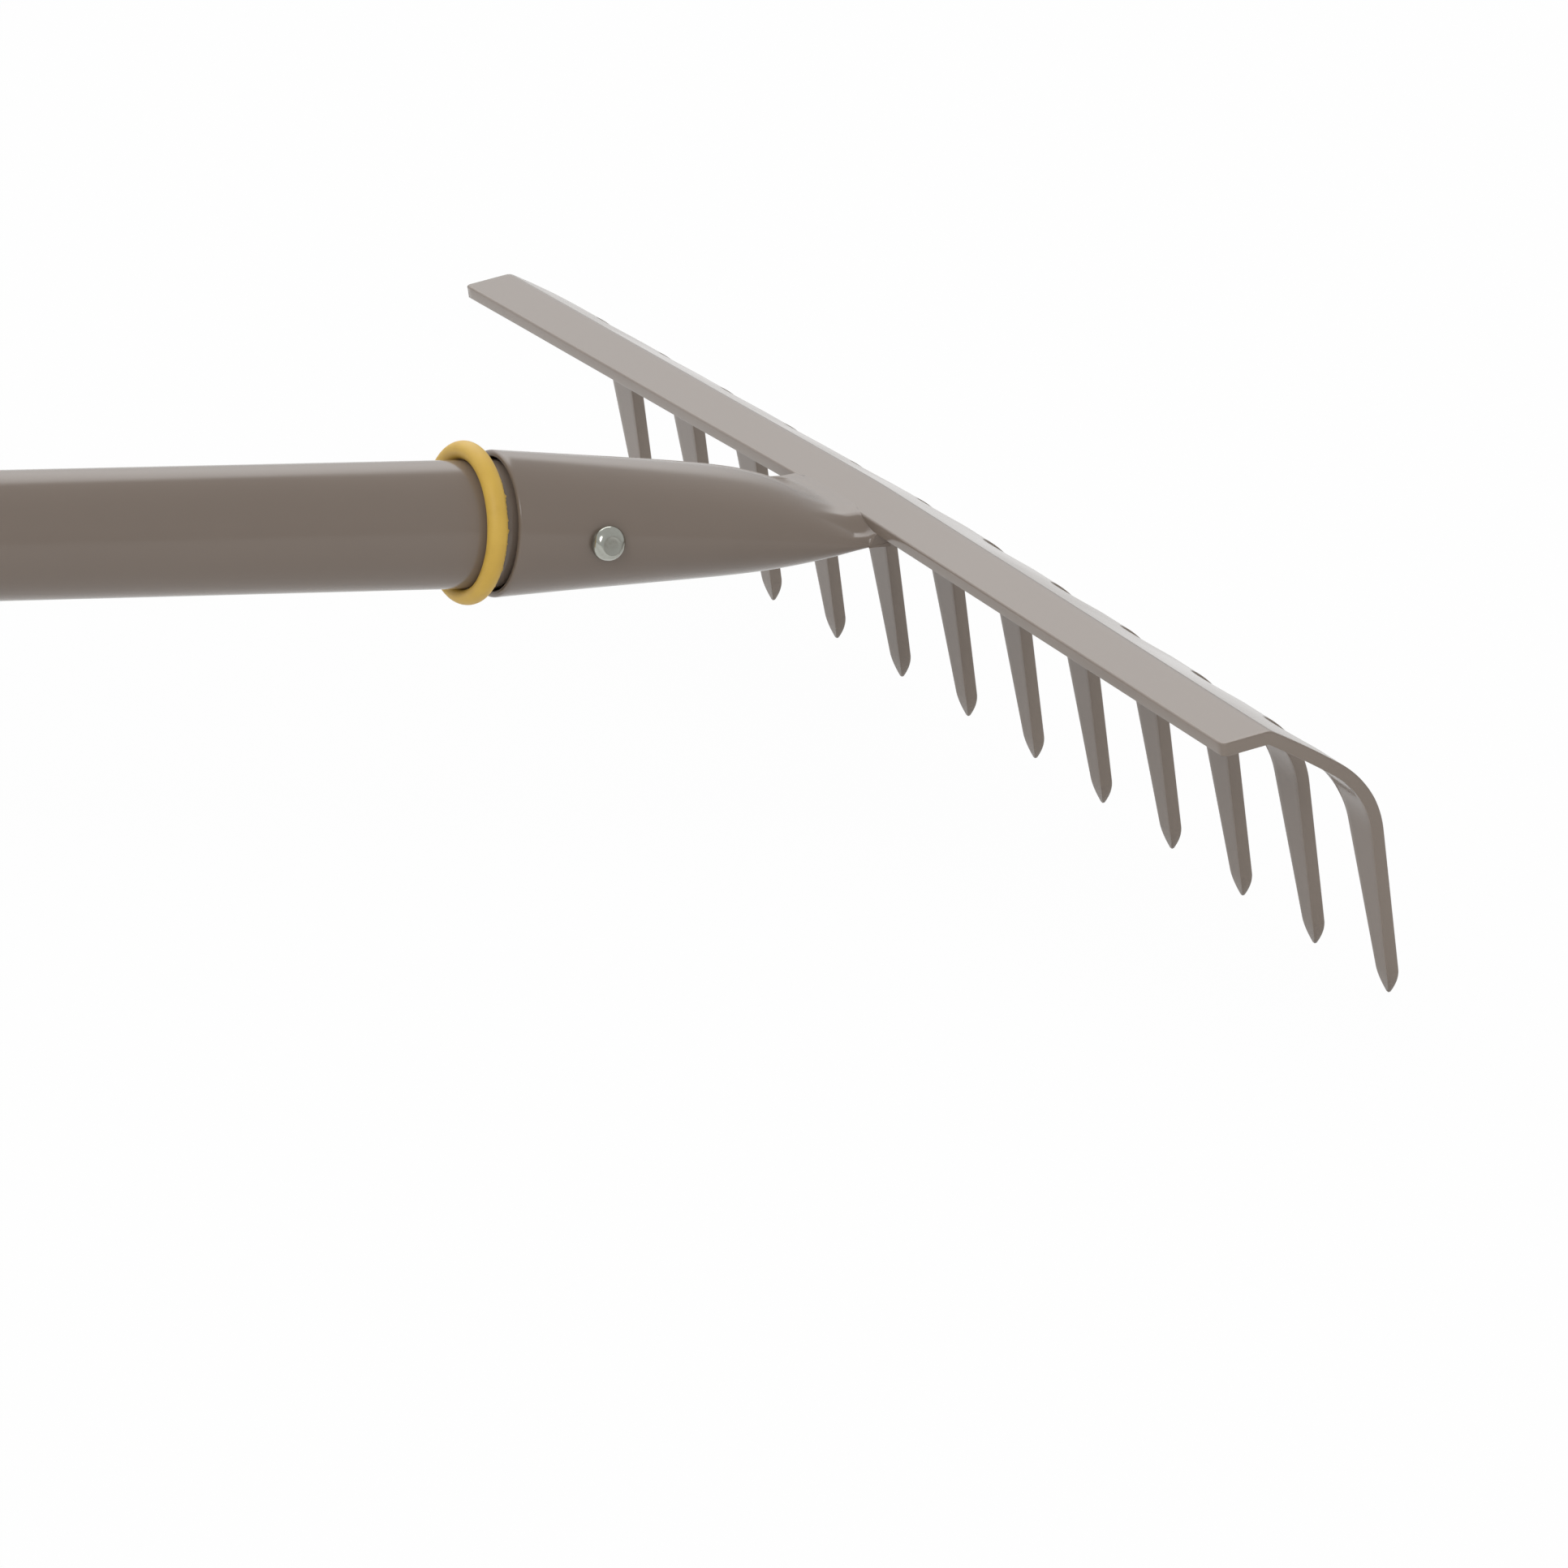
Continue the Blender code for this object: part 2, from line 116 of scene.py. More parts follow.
def newMaterial(name):
    material = bpy.data.materials.new(name)
    material.use_nodes = True
    tree = material.node_tree
    shader = tree.nodes["Principled BSDF"]
    place = addNode(tree, "ShaderNodeTexCoord").outputs["Object"]
    return material, tree, shader, place


def newPiece(name, points, faces, material, node, smoothAngle=32.0, rim=None, body="rake"):
    mesh = bpy.data.meshes.new(name)
    mesh.from_pydata([rakePlace @ (Vector(point) * mm) for point in points], [], faces)
    if rim is not None:
        layer = mesh.attributes.new("rim", "FLOAT", "POINT")
        layer.data.foreach_set("value", rim)
    tidy = bmesh.new()
    tidy.from_mesh(mesh)
    bmesh.ops.recalc_face_normals(tidy, faces=tidy.faces)
    tidy.to_mesh(mesh)
    tidy.free()
    mesh.shade_smooth()
    mesh.set_sharp_from_angle(angle=math.radians(smoothAngle))
    mesh.materials.append(material)
    piece = bpy.data.objects.new(name, mesh)
    bpy.context.scene.collection.objects.link(piece)
    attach(piece, body)
    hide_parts(node)
    return piece


def skin(rows, closed):
    count = len(rows[0])
    points = [point for row in rows for point in row]
    faces = []
    for number in range(len(rows) if closed else len(rows) - 1):
        here = number * count
        there = (number + 1) % len(rows) * count
        for step in range(count):
            beside = (step + 1) % count
            faces.append((here + step, here + beside, there + beside, there + step))
    if not closed:
        faces.append(tuple(range(count)))
        faces.append(tuple(range(len(points) - count, len(points))))
    return points, faces


def spread(start, end, steps):
    return [start + (end - start) * step / steps for step in range(steps + 1)]


def smooth(low, high, value):
    share = min(max((value - low) / (high - low), 0.0), 1.0)
    return share * share * (3 - 2 * share)


# Stoved powder paint on steel: a closed, glassy skin with faint orange peel, a soft sheen that blurs the
# reflections a little, a few dust specks under it, and lighter stamped edges: partly paint drawn thinner, partly
# a painted edge highlight.
enamel = {
    # the edge colour stands partly for thinner paint and partly for a painted edge highlight
    "colour": "82756a", "mottle": "877a6f", "thinPaintAndEdgeHighlight": "91857a", "speck": "4a4039",
    "roughness": (0.13, 0.19), "ior": 1.52,
    "mottleSize": 38.0, "peelSize": 2.2, "peelDepth": 0.0022, "waveSize": 17.0, "waveDepth": 0.006,
    "speckSpacing": 13.0, "speckRadius": 0.17, "speckShare": 0.3,
}


def stovedTaupePaint():
    material, tree, shader, place = newMaterial("stovedTaupePowderPaint")
    mottle = addNoise(tree, place, enamel["mottleSize"], 3.0)
    tone = blendColours(tree, mottle, linear(enamel["colour"]), linear(enamel["mottle"]))
    # painted edge highlight: the cut edges are lightened, partly also for thinner paint there
    rim = addNode(tree, "ShaderNodeAttribute", attribute_name="rim").outputs["Fac"]
    edgeThinningAndHighlight = calculate(tree, "MULTIPLY", rim, mottle)
    toneWithLightEdges = blendColours(tree, edgeThinningAndHighlight, tone, linear(enamel["thinPaintAndEdgeHighlight"]))
    speck = addSpecks(tree, place, enamel["speckSpacing"], enamel["speckRadius"], enamel["speckShare"])
    wave = addBump(tree, addNoise(tree, place, enamel["waveSize"], 1.0), enamel["waveDepth"])
    peel = addBump(tree, addNoise(tree, place, enamel["peelSize"], 2.0), enamel["peelDepth"])
    tree.links.new(wave.outputs["Normal"], peel.inputs["Normal"])
    tree.links.new(blendColours(tree, speck, toneWithLightEdges, linear(enamel["speck"])), shader.inputs["Base Color"])
    tree.links.new(addSheen(tree, mottle, enamel["roughness"]), shader.inputs["Roughness"])
    tree.links.new(peel.outputs["Normal"], shader.inputs["Normal"])
    shader.inputs["IOR"].default_value = enamel["ior"]
    return material


# Zinc plate, passivated and barrel tumbled: a bright silver with a soft grain and small dents.
zinc = {"colour": "c2c4bb", "dull": "b0b1a8", "roughness": (0.11, 0.2), "grain": 0.8, "grainDepth": 0.0015}


def tumbledZincPlate():
    material, tree, shader, place = newMaterial("tumbledZincPlate")
    grain = addNoise(tree, place, zinc["grain"], 4.0)
    bump = addBump(tree, grain, zinc["grainDepth"])
    tree.links.new(blendColours(tree, grain, linear(zinc["colour"]), linear(zinc["dull"])),
                   shader.inputs["Base Color"])
    tree.links.new(addSheen(tree, grain, zinc["roughness"]), shader.inputs["Roughness"])
    tree.links.new(bump.outputs["Normal"], shader.inputs["Normal"])
    shader.inputs["Metallic"].default_value = 1.0
    return material


# Moulded rubber, pigmented ochre: nearly matt, with a waxy bloom and grit, and painted brown shade on its inner
# face where it meets the tube.
rubber = {
    # the brown colour is painted shade, for where the ring meets the tube
    "colour": "ecc45a", "deep": "dab04a", "contactShade": "8a6634", "grit": "6d4a22",
    "roughness": 0.46, "ior": 1.5, "bloomSize": 5.0, "poreSize": 0.5, "poreDepth": 0.02,
    "gritSpacing": 2.6, "gritRadius": 0.18, "gritShare": 0.24,
}


def mouldedOchreRubber():
    material, tree, shader, place = newMaterial("mouldedOchreRubber")
    bloom = addNoise(tree, place, rubber["bloomSize"], 5.0)
    tone = blendColours(tree, bloom, linear(rubber["colour"]), linear(rubber["deep"]))
    # painted shade: the ring's inner face against the tube is darkened brown, in noisy patches
    contactShadeMask = addNode(tree, "ShaderNodeAttribute", attribute_name="rim").outputs["Fac"]
    toneWithContactShade = blendColours(tree, contactShadeMask, tone, linear(rubber["contactShade"]))
    grit = addSpecks(tree, place, rubber["gritSpacing"], rubber["gritRadius"], rubber["gritShare"])
    bump = addBump(tree, addNoise(tree, place, rubber["poreSize"], 3.0), rubber["poreDepth"])
    tree.links.new(blendColours(tree, grit, toneWithContactShade, linear(rubber["grit"])), shader.inputs["Base Color"])
    tree.links.new(bump.outputs["Normal"], shader.inputs["Normal"])
    shader.inputs["Roughness"].default_value = rubber["roughness"]
    shader.inputs["IOR"].default_value = rubber["ior"]
    return material


# Injection-moulded polypropylene in black: a spark-eroded mould leaves it evenly dull, with a slight bloom.
plastic = {"colour": "2b2a29", "bloom": "3a3836", "roughness": (0.42, 0.55), "ior": 1.49, "bloomSize": 14.0,
           "sparkSize": 0.8, "sparkDepth": 0.02}


def mouldedBlackPlastic():
    material, tree, shader, place = newMaterial("mouldedBlackPolypropylene")
    bloom = addNoise(tree, place, plastic["bloomSize"], 4.0)
    bump = addBump(tree, addNoise(tree, place, plastic["sparkSize"], 2.0), plastic["sparkDepth"])
    tree.links.new(blendColours(tree, bloom, linear(plastic["colour"]), linear(plastic["bloom"])),
                   shader.inputs["Base Color"])
    tree.links.new(addSheen(tree, bloom, plastic["roughness"]), shader.inputs["Roughness"])
    tree.links.new(bump.outputs["Normal"], shader.inputs["Normal"])
    shader.inputs["IOR"].default_value = plastic["ior"]
    return material


taupePaint = stovedTaupePaint()
zincPlate = tumbledZincPlate()
ochreRubber = mouldedOchreRubber()
blackPlastic = mouldedBlackPlastic()
print("materials made")

# The head: one stamped sheet, described by its folded outline in side view and by its flat blank
head = {
    "tines": 12, "width": 350.0, "thickness": 2.55,
    "overrun": 2.3,                          # the sheet runs on this far past the last tine, at +y
    "flangeEdge": (72.0, 4.7), "flangeLength": 9.2, "flangeAngle": 13.6,
    "ridgeRadius": 3.0, "plateAngles": (-21.5, -26.6), "plateLength": 16.0,
    "bendRadius": 20.9, "tineAngle": -74.66, "tineLength": 34.07,
    "rootWidth": 11.4, "endWidth": 4.8, "taperDelay": 10.7, "pointLength": 5.0, "pointWidth": 0.7,
    "pointPower": 1.75, "outerCut": (1.43, 2.15), "innerCut": (0.59, 1.75),
    "webDepth": 11.3, "archDepth": 7.0, "sweep": 0.0041, "droop": 0.0122, "middleRounding": 6.0,
    "cornerRounding": (1.2, 1.1),            # of the flange's end corners, at -y and at +y
    "punchEdge": 0.34, "burrEdge": 0.16,     # rounding of the stamped edges on the upper and lower side
    "flangeRounding": 1.45,                  # the flange's lower edge is rounded this many times more
    "mostInset": 0.7,                        # roundings take at most this share of a tine's half width
    "waviness": 0.07, "wavinessSize": 46.0,  # how far, and how often, the sheet strays from flat
    "calmEnds": 12.0,                        # but not this near its ends, nor along the tines
    "wavinessSeed": 7.3,
}


def bendLength(radius, start, end):
    return radius * math.radians(abs(end - start))


plateStartAngle, plateEndAngle = head["plateAngles"]
flangeAngle = head["flangeAngle"]
tineAngle = head["tineAngle"]
# the folded outline, as stretches with their length and the angles at their start and end
headStretches = (
    (head["flangeLength"], flangeAngle, flangeAngle),
    (bendLength(head["ridgeRadius"], flangeAngle, plateStartAngle), flangeAngle, plateStartAngle),
    (head["plateLength"], plateStartAngle, plateEndAngle),
    (bendLength(head["bendRadius"], plateEndAngle, tineAngle), plateEndAngle, tineAngle),
    (head["tineLength"], tineAngle, tineAngle),
)
ridgeStart = head["flangeLength"]
plateStart = ridgeStart + headStretches[1][0]
bendStart = plateStart + head["plateLength"]
tineStart = bendStart + headStretches[3][0]
tipAt = tineStart + head["tineLength"]
pointStart = tipAt - head["pointLength"]
taperStart = bendStart + head["taperDelay"]
webEdge = plateStart + head["webDepth"]
shoulder = webEdge + head["archDepth"]
pitch = (head["width"] - head["rootWidth"]) / (head["tines"] - 1)


def headPoint(distance, y, depth=0.0):
    # distance runs along the outer side from the flange's lower edge, depth goes down into the sheet
    x, z = head["flangeEdge"]
    left = distance
    for length, start, end in headStretches:
        step = min(left, length)
        turned = math.radians(end - start) * step / length
        first = math.radians(start)
        chord = 2 * step / turned * math.sin(turned / 2) if turned else step
        x += chord * math.cos(first + turned / 2)
        z += chord * math.sin(first + turned / 2)
        left -= step
        if left <= 0:
            break
    direction = first + turned
    calm = smooth(tipAt, tineStart, distance) * smooth(0.0, head["calmEnds"], head["width"] / 2 - abs(y))
    size = head["wavinessSize"]
    stray = head["waviness"] * calm * softNoise(Vector((distance / size, y / size, head["wavinessSeed"])))
    x += (depth - stray) * math.sin(direction)
    z -= (depth - stray) * math.cos(direction)
    offMiddle = math.hypot(y, head["middleRounding"]) - head["middleRounding"]
    return x - head["sweep"] * offMiddle, y, z - head["droop"] * offMiddle


def tineHalfWidth(distance):
    if distance <= taperStart:
        return head["rootWidth"] / 2
    if distance <= pointStart:
        share = (distance - taperStart) / (pointStart - taperStart)
        return (head["rootWidth"] + (head["endWidth"] - head["rootWidth"]) * share) / 2
    share = min((distance - pointStart) / head["pointLength"], 1.0)
    return (head["endWidth"] - (head["endWidth"] - head["pointWidth"]) * share ** head["pointPower"]) / 2


def sheetDepth(distance, depth):
    # the point is thinned from both sides, more from the outer one
    share = min(max((distance - pointStart) / head["pointLength"], 0.0), 1.0)
    outerCut, outerPower = head["outerCut"]
    innerCut, innerPower = head["innerCut"]
    upper = outerCut * share ** outerPower
    lower = head["thickness"] - innerCut * share ** innerPower
    return upper + (lower - upper) * depth / head["thickness"]


def makeHead():
    tines = head["tines"]
    tineColumns = 8
    gapColumns = 24
    stripRows = [0.0, 0.7, 1.0, 1.4, 2.0, 2.8, 4.0, 6.0] + spread(ridgeStart, plateStart, 10)
    stripRows += spread(plateStart, (plateStart + webEdge) / 2, 3)[1:]
    neckRows = 12
    tineRows = spread(shoulder, tineStart, 22)[1:] + spread(tineStart, pointStart, 12)[1:]
    tineRows += spread(pointStart, tipAt, 12)[1:]
    lastStrip = len(stripRows) - 1
    lastNeck = lastStrip + neckRows
    lastRow = lastNeck + len(tineRows)
    span = tineColumns + gapColumns
    columns = tines * span - gapColumns + 1
    halfGap = pitch / 2 - head["rootWidth"] / 2

    def cornerCut(distance, radius):
        if distance >= radius:
            return 0.0
        return radius - math.sqrt(radius ** 2 - (radius - distance) ** 2)

    def blankPoint(column, row, inset):
        # place in the flat blank, with every cut edge drawn back by inset
        tine, step = divmod(column, span)
        middle = (tine - (tines - 1) / 2) * pitch
        if row <= lastStrip:
            distance = max(stripRows[row], inset)
            share = 0.0
        elif row <= lastNeck:
            share = (row - lastStrip) / neckRows
            distance = stripRows[-1] + (shoulder - stripRows[-1]) * share
        else:
            share = 1.0
            distance = min(tineRows[row - lastNeck - 1], tipAt - inset)
        if step <= tineColumns:
            half = tineHalfWidth(distance)
            sideInset = min(inset, half * head["mostInset"])
            left = right = half - sideInset * share
            if tine == 0:
                left = half - sideInset - cornerCut(distance, head["cornerRounding"][0])
            if tine == tines - 1:
                overrun = head["overrun"] * min(max((shoulder - distance) / head["archDepth"], 0.0), 1.0)
                right = half + overrun - sideInset - cornerCut(distance, head["cornerRounding"][1])
            return distance, middle - left + (left + right) * step / tineColumns
        turn = math.pi * (1 - (step - tineColumns) / gapColumns)
        gapMiddle = middle + pitch / 2
        y = gapMiddle + halfGap * math.cos(turn)
        if not share:
            return distance, y
        outS = -math.sin(turn) / head["archDepth"]
        outY = math.cos(turn) / halfGap
        size = math.hypot(outS, outY)
        archS = shoulder - head["archDepth"] * math.sin(turn) + inset * outS / size
        archY = y + inset * outY / size
        return stripRows[-1] + (archS - stripRows[-1]) * share, y + (archY - y) * share

    places = {}
    for column in range(columns):
        isTine = column % span <= tineColumns
        for row in range((lastRow if isTine else lastNeck) + 1):
            places[column, row] = len(places)
    cells = []
    for column, row in places:
        corners = ((column, row), (column + 1, row), (column + 1, row + 1), (column, row + 1))
        beyondWeb = row >= lastNeck and column % span >= tineColumns
        if beyondWeb or any(corner not in places for corner in corners):
            continue
        cells.append(tuple(places[corner] for corner in corners))
    used = set()
    for cell in cells:
        used.update(zip(cell, cell[1:] + cell[:1]))
    border = [edge for edge in sorted(used) if (edge[1], edge[0]) not in used]

    thickness = head["thickness"]
    punch = head["punchEdge"]
    burr = head["burrEdge"]
    rounds = []
    upperRounds = 5
    lowerRounds = 4
    for number in range(upperRounds):
        turn = math.pi / 2 * number / (upperRounds - 1)
        rounds.append((punch * (1 - math.sin(turn)), punch * (1 - math.cos(turn))))
    for number in range(lowerRounds):
        turn = math.pi / 2 * number / (lowerRounds - 1)
        rounds.append((burr * (1 - math.cos(turn)), thickness - burr * (1 - math.sin(turn))))
    points = []
    rim = []
    starts = []
    names = list(places)
    onBorder = {number for edge in border for number in edge}
    borderIndex = {number: index for index, number in enumerate(sorted(onBorder))}
    for number, (inset, depth) in enumerate(rounds):
        starts.append(len(points))
        whole = number in (0, len(rounds) - 1)
        for place in (range(len(names)) if whole else sorted(onBorder)):
            column, row = names[place]
            more = head["flangeRounding"] if row == 0 and number < upperRounds else 1.0
            distance, y = blankPoint(column, row, inset * more)
            points.append(headPoint(distance, y, sheetDepth(distance, depth * more)))
            # the cut edges get the lighter edge colour: partly thinner paint, partly a painted highlight
            rim.append(1.0 if place in onBorder else 0.0)
    faces = list(cells)
    faces += [tuple(starts[-1] + number for number in reversed(cell)) for cell in cells]
    for number in range(len(rounds) - 1):
        upperWhole = number == 0
        lowerWhole = number == len(rounds) - 2
        above, below = starts[number], starts[number + 1]
        for here, there in border:
            a, b = (here, there) if upperWhole else (borderIndex[here], borderIndex[there])
            c, d = (here, there) if lowerWhole else (borderIndex[here], borderIndex[there])
            faces.append((above + b, above + a, below + c, below + d))
    return newPiece("rakeHead", points, faces, taupePaint, "tine_bar", rim=rim, smoothAngle=50.0)


makeHead()
print("head made")

# The socket: a round tube pressed flat towards the head, its mouth deburred
socket = {
    "clearance": 0.5, "wall": 1.4, "flatStart": 71.8, "length": 79.0, "endHeight": 3.3,
    "coneShare": 0.455, "pressPower": 8.5, "sag": 0.7, "endLift": 1.85, "endEdge": 0.3,
    "steps": 144, "lipSteps": 8, "backSteps": 74, "innerSteps": 30,
}
handle = {
    "radius": 12.5, "wall": 1.2, "length": 1380.0,
    "neckRadius": 10.5, "neckStart": 0.6, "neckTaper": 5.0, "neckEnd": 27.0, "neckSteps": 10,
    "endEdge": 0.3, "steps": 128, "denseFrom": -100.0, "farRows": 24, "nearRows": 12,
}
socketRadius = handle["radius"] + socket["clearance"] + socket["wall"]
girthExponent = math.log(2) / math.log(math.pi / 2)


def socketSection(x):
    # half width, half height and height of the centre; the pressed tube keeps its girth
    share = min(max(x, 0.0) / socket["flatStart"], 1.0)
    pressed = socket["coneShare"] * share + (1 - socket["coneShare"]) * share ** socket["pressPower"]
    height = socketRadius - (socketRadius - socket["endHeight"] / 2) * pressed
    flatWidth = math.pi * socketRadius / 2
    width = (flatWidth ** girthExponent - height ** girthExponent) ** (1 / girthExponent)
    liftFrom = socket["flatStart"] - (socket["length"] - socket["flatStart"])
    rising = min(max((x - liftFrom) / (socket["length"] - liftFrom), 0.0), 1.0)
    return width, height, -socket["sag"] * share ** 3 + socket["endLift"] * rising ** 2


def socketRing(x, inward):
    width, height, centre = socketSection(x)
    ringPoints = []
    for number in range(socket["steps"]):
        turn = 2 * math.pi * number / socket["steps"]
        ringPoints.append((x, (width - inward) * math.cos(turn), centre + (height - inward) * math.sin(turn)))
    return ringPoints


def socketTop(x, y):
    width, height, centre = socketSection(x)
    return centre + height * math.sqrt(max(0.0, 1 - (y / width) ** 2))


def makeSocket():
    lip = socket["wall"] / 2
    edge = socket["endEdge"]
    mouth = []
    for number in range(socket["lipSteps"] + 1):
        turn = math.pi * number / socket["lipSteps"]
        mouth.append(socketRing(lip - lip * math.sin(turn), lip - lip * math.cos(turn)))
    outside = spread(lip, socket["length"] - edge, socket["backSteps"])[1:]
    back = [socketRing(x, 0.0) for x in outside] + [socketRing(socket["length"], edge)]
    inner = [socketRing(x, socket["wall"]) for x in spread(socket["length"], lip, socket["innerSteps"])[:-1]]
    points, faces = skin(mouth[::-1] + back + inner, closed=True)
    return newPiece("socketTube", points, faces, taupePaint, "socket")


makeSocket()
print("socket made")

# The weld along the flange's lower edge: ground smooth and painted over. It fills the valley before the flange,
# and its seam lies on the flange in the middle. At +y it runs out on the socket, at -y it slips down the edge.
weld = {
    "from": -22.3, "to": 21.0, "reach": 14.0, "leastReach": 0.9, "toeMargin": 0.3, "toeStep": 0.1,
    "overlap": 1.3, "bite": 0.15, "sink": 0.45, "inside": 0.75, "insideNear": 2.4,
    "probe": 0.5,                            # the socket's slope at the toe is taken over this length
    "under": (0.1, 0.4, 0.5),                # how deep the hidden underside lies, from the seam to the toe
    "fallFar": (20.8, 15.0), "seamRun": (15.0, 9.5), "seamRunNear": (-15.5, -9.0),
    "slip": (-14.0, -21.0), "slipDepth": 2.25, "steepen": 34.0,
    "leave": 0.42, "arrive": 0.36,           # how far the section follows the socket and the flange
    "bead": 0.16, "beadAt": 0.86, "beadWidth": 0.09, "ripple": 0.05, "rippleSize": 2.6, "rippleRun": 1.7,
    "rippleSeed": 3.1, "skin": 0.04, "skinTurn": 0.2, "steps": 150, "curveSteps": 26,
}


def makeWeld():
    underSeam, underBack, underMiddle = weld["under"]
    rows = []
    for number in range(weld["steps"] + 1):
        y = weld["from"] + (weld["to"] - weld["from"]) * number / weld["steps"]
        kept = smooth(*weld["fallFar"], y)
        onFlange = smooth(*weld["seamRun"], y) * smooth(*weld["seamRunNear"], y)
        slipped = smooth(*weld["slip"], y)
        edgeX = headPoint(0.0, y)[0]
        toeX = edgeX - weld["reach"]
        while toeX < edgeX - weld["leastReach"] and socketSection(toeX)[0] < abs(y) + weld["toeMargin"]:
            toeX += weld["toeStep"]
        toe = Vector((toeX, socketTop(toeX, y)))
        ahead = Vector((toeX + weld["probe"], socketTop(toeX + weld["probe"], y)))
        seamX, _, seamZ = headPoint(weld["overlap"] * onFlange + weld["bite"], y, weld["slipDepth"] * slipped)
        seam = Vector((seamX, seamZ))
        reach = seam.x - toe.x
        arriveTurn = math.radians(flangeAngle + weld["steepen"] * slipped)
        leave = (ahead - toe).normalized() * reach * weld["leave"]
        arrive = Vector((math.cos(arriveTurn), math.sin(arriveTurn))) * reach * weld["arrive"]
        row = []
        for step in range(weld["curveSteps"] + 1):
            t = step / weld["curveSteps"]
            spot = (toe * (1 - t) ** 3 + (toe + leave) * 3 * t * (1 - t) ** 2
                    + (seam - arrive) * 3 * t * t * (1 - t) + seam * t ** 3)
            ground = socketTop(spot.x, y)
            waves = softNoise(Vector((y / weld["rippleSize"], t * weld["rippleRun"], weld["rippleSeed"])))
            swell = weld["bead"] * math.exp(-((t - weld["beadAt"]) / weld["beadWidth"]) ** 2) * onFlange
            rise = (spot.y - ground + swell + weld["ripple"] * waves * math.sin(math.pi * t)) * kept
            lift = weld["skin"] * (2 * smooth(0.0, weld["skinTurn"], t) - 1)
            row.append((spot.x, y, ground + max(rise, 0.0) + lift))
        buried = 1 - onFlange
        backX = seam.x + weld["inside"] * buried + weld["insideNear"] * slipped
        climb = weld["insideNear"] * slipped * math.tan(math.radians(flangeAngle))
        middleX = (toe.x + seam.x) / 2
        row.append((backX, y, row[-1][2] + climb - underSeam - weld["sink"] * (1 - buried)))
        row.append((backX, y, min(socketTop(seam.x, y), row[-1][2]) - underBack))
        row.append((middleX, y, socketTop(middleX, y) - underMiddle))
        row.append((toe.x, y, toe.y - weld["sink"]))
        rows.append(row)
    points, faces = skin(rows, closed=False)
    return newPiece("weldFillet", points, faces, taupePaint, "weld_bead", smoothAngle=55.0)


makeWeld()

# The smaller weld under the head, which joins the socket's flat end to the fold
underWeld = {"halfWidth": 16.0, "reach": 3.0, "gap": 0.3, "sheetGap": 0.05, "hollow": (0.25, 0.35),
             "ripple": 0.12, "rippleSize": 2.2, "rippleSeed": 9.7, "steps": 60, "curveSteps": 8}


def makeUnderWeld():
    rows = []
    endX = socket["length"] + underWeld["gap"]
    _, height, centre = socketSection(socket["length"])
    hollowX, hollowZ = underWeld["hollow"]
    for number in range(underWeld["steps"] + 1):
        y = underWeld["halfWidth"] * (2 * number / underWeld["steps"] - 1)
        depth = head["thickness"] + underWeld["sheetGap"]
        foldX, _, foldZ = headPoint((ridgeStart + plateStart) / 2, y, depth)
        farX, _, farZ = headPoint(plateStart + underWeld["reach"], y, depth)
        rise = (foldX - endX) * math.tan(math.radians(flangeAngle))
        low = Vector((endX, centre - height / 2))
        far = Vector((farX, farZ))
        row = [(endX, y, foldZ - rise), (foldX, y, foldZ), (farX, y, farZ)]
        for step in range(1, underWeld["curveSteps"] + 1):
            t = step / underWeld["curveSteps"]
            hollow = math.sin(math.pi * t)
            spot = far.lerp(low, t)
            waves = softNoise(Vector((y / underWeld["rippleSize"], t, underWeld["rippleSeed"])))
            row.append((spot.x - hollowX * hollow, y,
                        spot.y + (hollowZ + underWeld["ripple"] * waves) * hollow))
        rows.append(row)
    points, faces = skin(rows, closed=False)
    return newPiece("weldFilletUnder", points, faces, taupePaint, "weld_bead_under",
                    smoothAngle=45.0)


makeUnderWeld()
print("welds made")

# The rivet: a domed head with the flat that its set leaves, a little askew, and the same head on the far side
rivet = {"x": 18.0, "shank": 2.0, "headRadius": 3.5, "headHeight": 2.3, "flatRadius": 1.55, "seatGap": 0.3,
         "askew": 9.0, "flatRounding": 0.35, "skirt": 0.25, "skirtEdge": (0.1, 0.05),
         "dent": ((0.02, 0.0), (0.03, 0.3), (0.035, 1.05)),  # depth, and how far in from the flat's edge
         "steps": 64, "domeSteps": 20}


def makeRivet():
    seat = socketSection(rivet["x"])[0] + rivet["seatGap"]
    height = rivet["headHeight"]
    flat = rivet["flatRadius"]
    skirt = rivet["skirt"]
    edgeUp, edgeIn = rivet["skirtEdge"]
    side = [(0.0, rivet["shank"]), (0.0, rivet["headRadius"] - skirt), (edgeUp, rivet["headRadius"] - edgeIn)]
    for step in range(rivet["domeSteps"] + 1):
        turn = math.pi / 2 * step / rivet["domeSteps"]
        side.append((skirt + (height - skirt) * math.sin(turn),
                     flat + rivet["flatRounding"] * math.sin(turn) ** 6
                     + (rivet["headRadius"] - flat) * math.cos(turn)))
    side += [(height - depth, flat - inward) for depth, inward in rivet["dent"]]
    slope = math.tan(math.radians(rivet["askew"]))
    rows = []
    for facing in (-1, 1):
        profile = side if facing > 0 else side[::-1]
        for out, radius in profile:
            row = []
            for number in range(rivet["steps"]):
                turn = 2 * math.pi * number / rivet["steps"]
                lean = slope * (out / height) ** 2 * radius * math.sin(turn)
                row.append((rivet["x"] + radius * math.cos(turn), facing * (seat + out - lean),
                            radius * math.sin(turn)))
            rows.append(row)
    points, faces = skin(rows, closed=False)
    return newPiece("rivetPin", points, faces, zincPlate, "rivet", smoothAngle=40.0)


makeRivet()


def circleAt(x, radius, steps):
    ringPoints = []
    for number in range(steps):
        turn = 2 * math.pi * number / steps
        ringPoints.append((x, radius * math.cos(turn), radius * math.sin(turn)))
    return ringPoints


